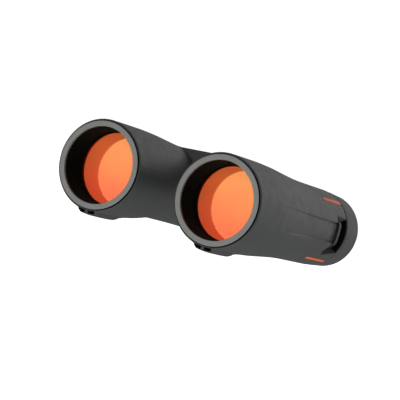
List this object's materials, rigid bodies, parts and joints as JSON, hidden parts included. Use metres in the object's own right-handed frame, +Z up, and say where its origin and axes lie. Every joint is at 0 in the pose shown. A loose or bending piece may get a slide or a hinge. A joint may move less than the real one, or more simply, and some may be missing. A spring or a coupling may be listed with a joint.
{
  "type": "binoculars",
  "caption": "Roof-prism binoculars with rubber armour, a folding centre hinge, a focus wheel, a diopter dial, internal focusing and twist-up eyecups.",
  "frame": {"origin": "centre of the bounding box's base, in the hinge plane, level with the underside of the objective lens-cover lugs", "axes": "+Z up, optical axes along Y with the objectives at -Y and the eyepieces at +Y, +X across to the barrel on the right of someone who looks at the objectives"},
  "size_m": [0.1244, 0.1474, 0.0532],
  "materials": {
    "armour_rubber": "matte moulded rubber, fine grain",
    "housing_paint": "matte black-grey powder paint on a magnesium casting",
    "ring_metal": "satin grey anodised",
    "hood_black": "matt black, fine ridges",
    "coated_glass": "orange anti-reflection coating",
    "eyepiece_glass": "pale green coating",
    "clear_glass": "polished",
    "steel": "turned, blackened edges",
    "bar_metal": "satin grey paint",
    "brass": "turned",
    "accent_orange": "moulded inlay",
    "eyecup_rubber": "soft matte rubber",
    "grip_rubber": "ribbed matte rubber",
    "wheel_metal": "dark anodised",
    "seal_rubber": "black nitrile",
    "washer_plastic": "acetal",
    "prism_cage_metal": "black anodised"
  },
  "bodies": {
    "hinge_core": {"hinge_pin": "steel", "front_cap": "housing_paint", "tripod_bush": "brass", "tripod_cap": "housing_paint", "focus_chamber": "housing_paint", "washer_front": "washer_plastic", "washer_middle": "washer_plastic", "washer_rear": "washer_plastic", "hinge_nut": "steel", "dial_screw": "steel"},
    "barrel_right": {"barrel_housing_right": "housing_paint", "armour_right": "armour_rubber", "objective_ring_right": "ring_metal", "objective_hood_right": "hood_black", "lens_retainer_right": "hood_black", "lens_cell_right": "hood_black", "objective_lens_right": "coated_glass", "objective_seal_right": "seal_rubber", "baffle_tube_right": "hood_black", "prism_cage_right": "prism_cage_metal", "prism_front_right": "clear_glass", "prism_rear_right": "clear_glass", "eyepiece_tube_right": "hood_black", "field_lens_right": "clear_glass", "eye_lens_right": "eyepiece_glass", "strap_bar_right": "bar_metal", "top_mark_right": "accent_orange", "bottom_mark_right": "accent_orange"},
    "barrel_left": {"barrel_housing_left": "housing_paint", "armour_left": "armour_rubber", "objective_ring_left": "ring_metal", "objective_hood_left": "hood_black", "lens_retainer_left": "hood_black", "lens_cell_left": "hood_black", "objective_lens_left": "coated_glass", "objective_seal_left": "seal_rubber", "baffle_tube_left": "hood_black", "prism_cage_left": "prism_cage_metal", "prism_front_left": "clear_glass", "prism_rear_left": "clear_glass", "eyepiece_tube_left": "hood_black", "field_lens_left": "clear_glass", "eye_lens_left": "eyepiece_glass", "strap_bar_left": "bar_metal", "top_mark_left": "accent_orange", "bottom_mark_left": "accent_orange"},
    "focus_wheel": {"focus_wheel": "wheel_metal", "wheel_grip": "grip_rubber"},
    "diopter_dial": {"diopter_dial": "wheel_metal"},
    "focus_carriage": {"focus_carriage": "brass"},
    "focus_cell_right": {"focus_cell_right": "brass"},
    "diopter_sleeve": {"lens_sleeve_right": "hood_black", "focus_lens_right": "clear_glass"},
    "focus_cell_left": {"focus_cell_left": "brass", "lens_sleeve_left": "hood_black", "focus_lens_left": "clear_glass"},
    "eyecup_glide_right": {"eyecup_glide_right": "washer_plastic"},
    "eyecup_right": {"eyecup_right": "eyecup_rubber"},
    "eyecup_glide_left": {"eyecup_glide_left": "washer_plastic"},
    "eyecup_left": {"eyecup_left": "eyecup_rubber"}
  },
  "joints": [
    {"name": "right_barrel_swing", "type": "hinge", "parent": "hinge_core", "child": "barrel_right", "pos_m": [0, 0.0215, 0.03992], "axis": [0, 1, 0], "range_deg": [0, 25.5]},
    {"name": "left_barrel_swing", "type": "hinge", "parent": "hinge_core", "child": "barrel_left", "pos_m": [0, 0.0215, 0.03992], "axis": [0, -1, 0], "range_deg": [0, 25.5]},
    {"name": "focus_wheel_turn", "type": "hinge", "parent": "hinge_core", "child": "focus_wheel", "pos_m": [0, 0.05, 0.03992], "axis": [0, 1, 0], "range_deg": [0, 401]},
    {"name": "focus_carriage_slide", "type": "slide", "parent": "hinge_core", "child": "focus_carriage", "axis": [0, -1, 0], "range_m": [0, 0.005]},
    {"name": "right_focus_slide", "type": "slide", "parent": "barrel_right", "child": "focus_cell_right", "axis": [0, -1, 0], "range_m": [0, 0.0051]},
    {"name": "left_focus_slide", "type": "slide", "parent": "barrel_left", "child": "focus_cell_left", "axis": [0, -1, 0], "range_m": [0, 0.0051]},
    {"name": "diopter_turn", "type": "hinge", "parent": "hinge_core", "child": "diopter_dial", "pos_m": [0, 0.06, 0.03992], "axis": [0, 1, 0], "range_deg": [-61, 61]},
    {"name": "diopter_lens_slide", "type": "slide", "parent": "focus_cell_right", "child": "diopter_sleeve", "axis": [0, -1, 0], "range_m": [-0.0009, 0.0009]},
    {"name": "right_eyecup_twist", "type": "hinge", "parent": "eyecup_glide_right", "child": "eyecup_right", "pos_m": [0.03697, 0.063, 0.0275], "axis": [0, 1, 0], "range_deg": [0, 151]},
    {"name": "right_eyecup_rise", "type": "slide", "parent": "barrel_right", "child": "eyecup_glide_right", "axis": [0, 1, 0], "range_m": [0, 0.008]},
    {"name": "left_eyecup_twist", "type": "hinge", "parent": "eyecup_glide_left", "child": "eyecup_left", "pos_m": [-0.03697, 0.063, 0.0275], "axis": [0, 1, 0], "range_deg": [0, 151]},
    {"name": "left_eyecup_rise", "type": "slide", "parent": "barrel_left", "child": "eyecup_glide_left", "axis": [0, 1, 0], "range_m": [0, 0.008]}
  ],
  "couplings": [
    {"joint": "left_barrel_swing", "follows": "right_barrel_swing", "ratio": 1},
    {"joint": "focus_wheel_turn", "follows": "focus_carriage_slide", "rad_per_m": 1396.3},
    {"joint": "right_focus_slide", "follows": "focus_carriage_slide", "ratio": 1},
    {"joint": "left_focus_slide", "follows": "focus_carriage_slide", "ratio": 1},
    {"joint": "diopter_turn", "follows": "diopter_lens_slide", "rad_per_m": 1163.6},
    {"joint": "right_eyecup_twist", "follows": "right_eyecup_rise", "rad_per_m": 327.25},
    {"joint": "left_eyecup_twist", "follows": "left_eyecup_rise", "rad_per_m": 327.25}
  ]
}
